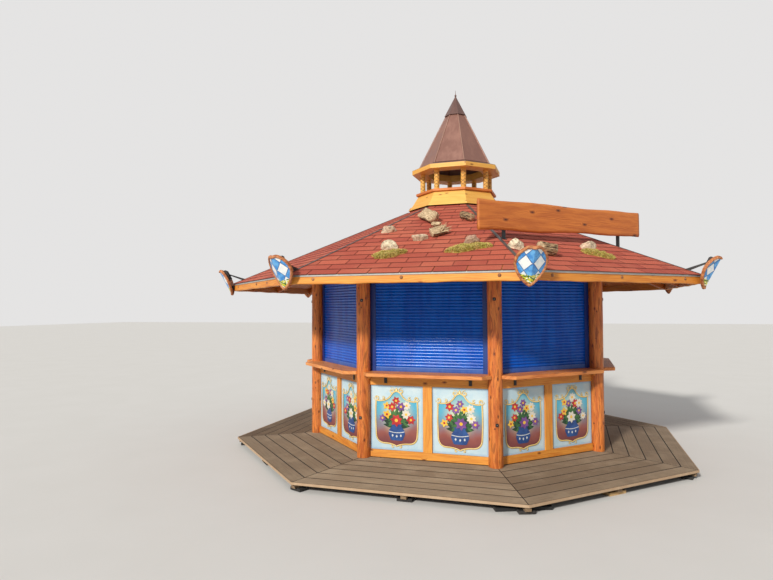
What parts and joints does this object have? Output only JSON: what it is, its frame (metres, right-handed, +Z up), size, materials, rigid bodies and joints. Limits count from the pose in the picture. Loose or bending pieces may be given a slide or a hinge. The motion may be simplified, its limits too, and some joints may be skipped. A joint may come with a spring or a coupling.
{
  "type": "wooden market hut",
  "caption": "Eight-sided timber market hut on a raised deck, with log posts, panelled parapets, closed roller shutters, a shingled roof and an open lantern with a metal spire.",
  "frame": {"origin": "middle of the hut on the ground", "axes": "+Z up, the front bay faces -Y, the bay with the sign board lies 45 degrees to its right"},
  "size_m": [6.4042, 6.4042, 5.1615],
  "materials": {
    "pads": "black rubber and timber blocks",
    "rough_timber": "sawn timber, weathered",
    "deck_board": "fluted composite deck boards, grey brown and dusty",
    "deck_edge": "pale cut edge of the deck boards",
    "floor_board": "planed floor boards",
    "log": "peeled round log, orange brown stain with knots",
    "stained_timber": "planed timber, honey orange stain",
    "painted_board": "boards painted in pale blue with gold scrolls round a plain shaded field",
    "counter_plank": "thick plank with a natural front, stained",
    "black_steel": "black painted steel",
    "shutter_blue": "roller shutter slats, deep blue paint",
    "shutter_bar": "bottom bar of a shutter, duller blue",
    "soffit_board": "tongued boards, stained",
    "red_shingle": "red brown granulated shingles",
    "eave_board": "waney edged boards, orange brown stain",
    "grey_metal": "folded grey metal strip",
    "shield_paint": "shield with blue and white lozenges in a rough brown rim",
    "lamp_black": "black floodlight housing",
    "turned_post": "turned post, stained",
    "spire_metal": "copper brown seamed sheet",
    "tip_metal": "dark brown sheet metal",
    "sign_plank": "broad bare board, orange brown stain",
    "field_stone": "grey field stone",
    "moss": "dry moss cushions",
    "driftwood": "weathered log and driftwood"
  },
  "bodies": {
    "root": {"deck_pads": "pads", "deck_bearers": "rough_timber", "deck_panels": "deck_board", "deck_edges": "deck_edge", "sill_beams": "rough_timber", "floor_joists": "rough_timber", "floor_boards": "floor_board", "posts": "log", "bottom_rails": "stained_timber", "top_rails": "stained_timber", "middle_stiles": "stained_timber", "parapet_panels": "painted_board", "counters": "counter_plank", "counter_brackets": "black_steel", "counter_cleats": "eave_board", "shutter_curtains": "shutter_blue", "shutter_bars": "shutter_bar", "shutter_guides": "shutter_blue", "shutter_boxes": "shutter_blue", "wall_plates": "stained_timber", "hip_rafters": "stained_timber", "common_rafters": "stained_timber", "roof_boarding": "soffit_board", "shingle_slopes": "red_shingle", "eave_boards": "eave_board", "drip_edges": "grey_metal", "hip_caps": "grey_metal", "corner_shields": "shield_paint", "shield_brackets": "black_steel", "corner_lamps": "lamp_black", "lantern_curb": "stained_timber", "lantern_skirt": "eave_board", "lantern_sills": "eave_board", "lantern_posts": "turned_post", "lantern_crown": "eave_board", "spire_deck": "spire_metal", "spire_sheets": "spire_metal", "spire_seams": "spire_metal", "spire_tip": "tip_metal", "finial": "tip_metal", "sign_board": "sign_plank", "sign_posts": "black_steel", "roof_stones": "field_stone", "roof_moss": "moss", "roof_logs": "driftwood"}
  },
  "joints": []
}
